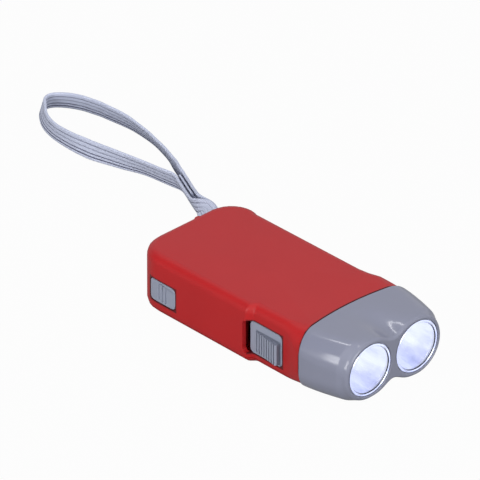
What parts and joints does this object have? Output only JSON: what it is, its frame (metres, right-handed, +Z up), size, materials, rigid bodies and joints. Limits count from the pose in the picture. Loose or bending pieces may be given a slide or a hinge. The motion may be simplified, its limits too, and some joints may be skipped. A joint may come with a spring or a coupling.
{
  "type": "hand crank flashlight",
  "caption": "Squeeze-lever dynamo hand torch with twin lamps, slide switch, lock button, gear train, generator and wrist strap.",
  "frame": {"origin": "middle of the housing's underside, where the closed torch stands on a table; the strap is not counted", "axes": "+X runs to the lamps, +Z up through the top face, +Y to the side with the squeeze lever; the switch and lock button are on the -Y side"},
  "size_m": [0.2226, 0.0807, 0.024],
  "materials": {
    "shell_red": "soft-touch matt",
    "head_grey": "gloss moulded",
    "control_grey": "satin moulded",
    "clear": "clear polished",
    "reflector": "vacuum metallised",
    "lamp": "clear epoxy, lit",
    "board_green": "solder mask",
    "gear_nylon": "natural nylon",
    "steel": "bright",
    "ferrite": "sintered",
    "core_iron": "laminated",
    "copper": "enamelled wire",
    "black_plastic": "moulded",
    "strap_grey": "woven tape",
    "lead_red": "insulated wire"
  },
  "bodies": {
    "housing": {"upper_shell": "shell_red", "bottom_cover": "shell_red", "head_bezel": "head_grey", "lens_near": "clear", "reflector_near": "reflector", "led_near": "lamp", "lens_far": "clear", "reflector_far": "reflector", "led_far": "lamp", "led_board": "board_green", "pivot_pin": "steel", "lever_spring": "steel", "first_axle": "steel", "second_axle": "steel", "rotor_axle": "steel", "stator_core": "core_iron", "coil_bobbin": "gear_nylon", "coil_winding": "copper", "gear_cover": "black_plastic", "cover_screw_front": "steel", "cover_screw_near": "steel", "cover_screw_far": "steel", "cover_screw_rear": "steel", "shell_screw_rear": "steel", "shell_screw_near": "steel", "shell_screw_far": "steel", "shell_screw_front": "steel", "main_board": "board_green", "coin_cell": "steel", "cell_clip": "steel", "driver_chip": "black_plastic", "board_screw_1": "steel", "board_screw_2": "steel", "board_screw_3": "steel", "lamp_lead_1": "lead_red", "coil_lead_1": "lead_red", "lamp_lead_2": "lead_red", "coil_lead_2": "lead_red", "switch_body": "black_plastic", "lock_spring": "steel", "strap_pin": "steel", "strap_fold": "strap_grey", "wrist_strap": "strap_grey"},
    "lever": {"squeeze_lever": "shell_red", "sector_gear": "gear_nylon"},
    "first_gear": {"first_gear": "gear_nylon"},
    "second_gear": {"second_gear": "gear_nylon"},
    "rotor": {"rotor": "black_plastic", "ring_magnet": "ferrite"},
    "switch": {"switch_knob": "control_grey", "switch_slider": "black_plastic"},
    "lock": {"lock_button": "control_grey", "lock_bar": "black_plastic"}
  },
  "joints": [
    {"name": "lever_swing", "type": "hinge", "parent": "housing", "child": "lever", "pos_m": [0.0234, 0.016, 0.01], "axis": [0, 0, -1], "range_deg": [0, 23], "deforming": ["lever_spring"]},
    {"name": "first_gear_spin", "type": "hinge", "parent": "housing", "child": "first_gear", "pos_m": [-0.00553, 0.00431, 0.01], "axis": [0, 0, 1], "continuous": true},
    {"name": "second_gear_spin", "type": "hinge", "parent": "housing", "child": "second_gear", "pos_m": [-0.01599, -0.00615, 0.01], "axis": [0, 0, -1], "continuous": true},
    {"name": "rotor_spin", "type": "hinge", "parent": "housing", "child": "rotor", "pos_m": [-0.02952, -0.00253, 0.01], "axis": [0, 0, 1], "continuous": true},
    {"name": "switch_slide", "type": "slide", "parent": "housing", "child": "switch", "axis": [-1, 0, 0], "range_m": [0, 0.0017]},
    {"name": "lock_press", "type": "slide", "parent": "housing", "child": "lock", "axis": [0, 1, 0], "range_m": [0, 0.0015], "stiffness_N_per_m": 300, "deforming": ["lock_spring"]}
  ],
  "couplings": [
    {"joint": "first_gear_spin", "follows": "lever_swing", "ratio": 6.8},
    {"joint": "second_gear_spin", "follows": "lever_swing", "ratio": 21.156},
    {"joint": "rotor_spin", "follows": "lever_swing", "ratio": 61.116}
  ]
}
